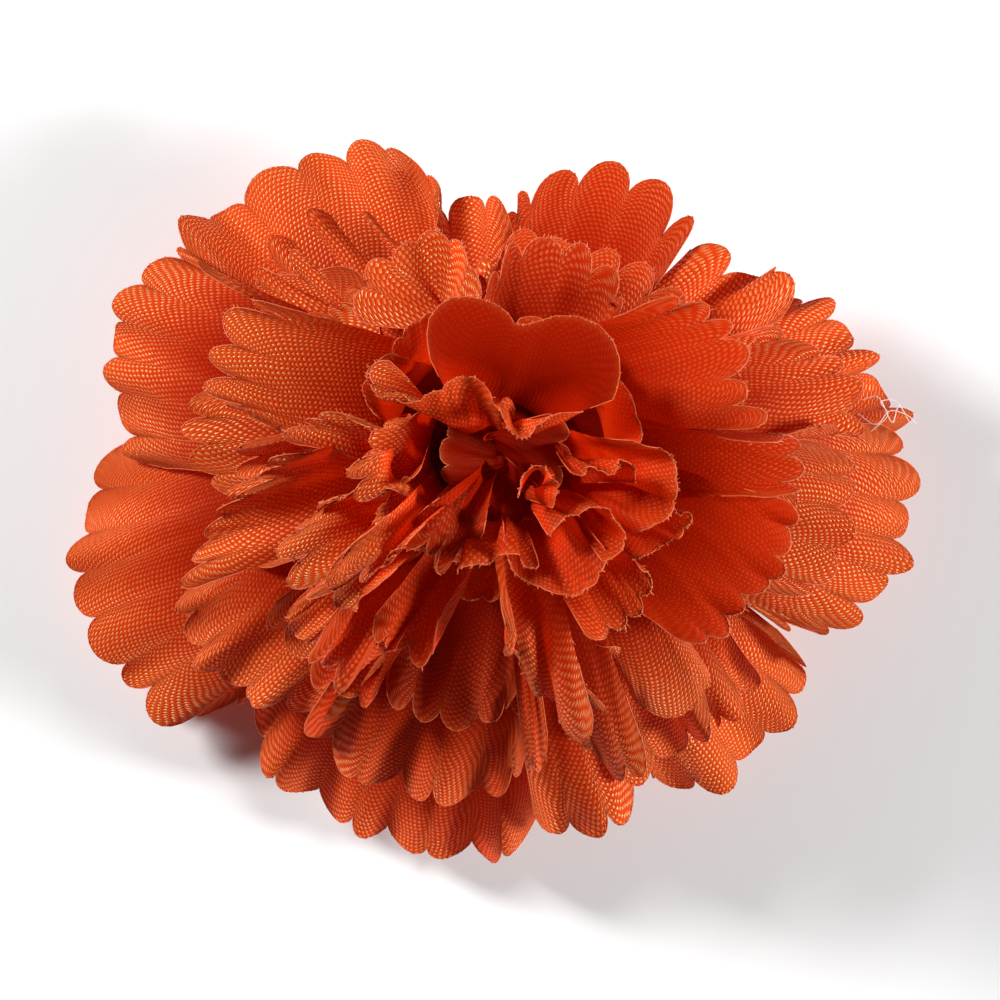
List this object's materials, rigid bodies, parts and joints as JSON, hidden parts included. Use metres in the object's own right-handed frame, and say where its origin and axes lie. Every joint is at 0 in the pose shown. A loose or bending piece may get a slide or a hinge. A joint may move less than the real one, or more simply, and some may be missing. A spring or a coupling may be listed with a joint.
{
  "type": "fabric carnation flower head",
  "caption": "Full fabric carnation head of woven cloth rounds with lobed frayed edges, threaded on a pin in a toothed green plastic calyx, face up.",
  "frame": {"origin": "middle of the calyx's flat base, on the pin's axis", "axes": "+Z along the pin towards the face of the flower; +X to the right and +Y to the short side of the petals, seen face on"},
  "size_m": [0.0755, 0.0649, 0.0444],
  "materials": {
    "calyx_plastic": "soft moulded polyethylene, mid green, slightly mottled",
    "pin_plastic": "natural translucent polyethylene, pale grey-green",
    "petal_cloth": "starched plain-weave polyester, orange-red, heat-cut frayed edges"
  },
  "bodies": {
    "root": {"calyx": "calyx_plastic", "centre_pin": "pin_plastic", "open_round_1": "petal_cloth", "spreader_1": "pin_plastic", "open_round_2": "petal_cloth", "spreader_2": "pin_plastic", "open_round_3": "petal_cloth", "spreader_3": "pin_plastic", "open_round_4": "petal_cloth", "wide_spreader": "pin_plastic", "open_round_5": "petal_cloth", "spreader_5": "pin_plastic", "folded_round_1": "petal_cloth", "folded_round_2": "petal_cloth", "folded_round_3": "petal_cloth", "folded_round_4": "petal_cloth", "pin_button": "pin_plastic"}
  },
  "joints": []
}
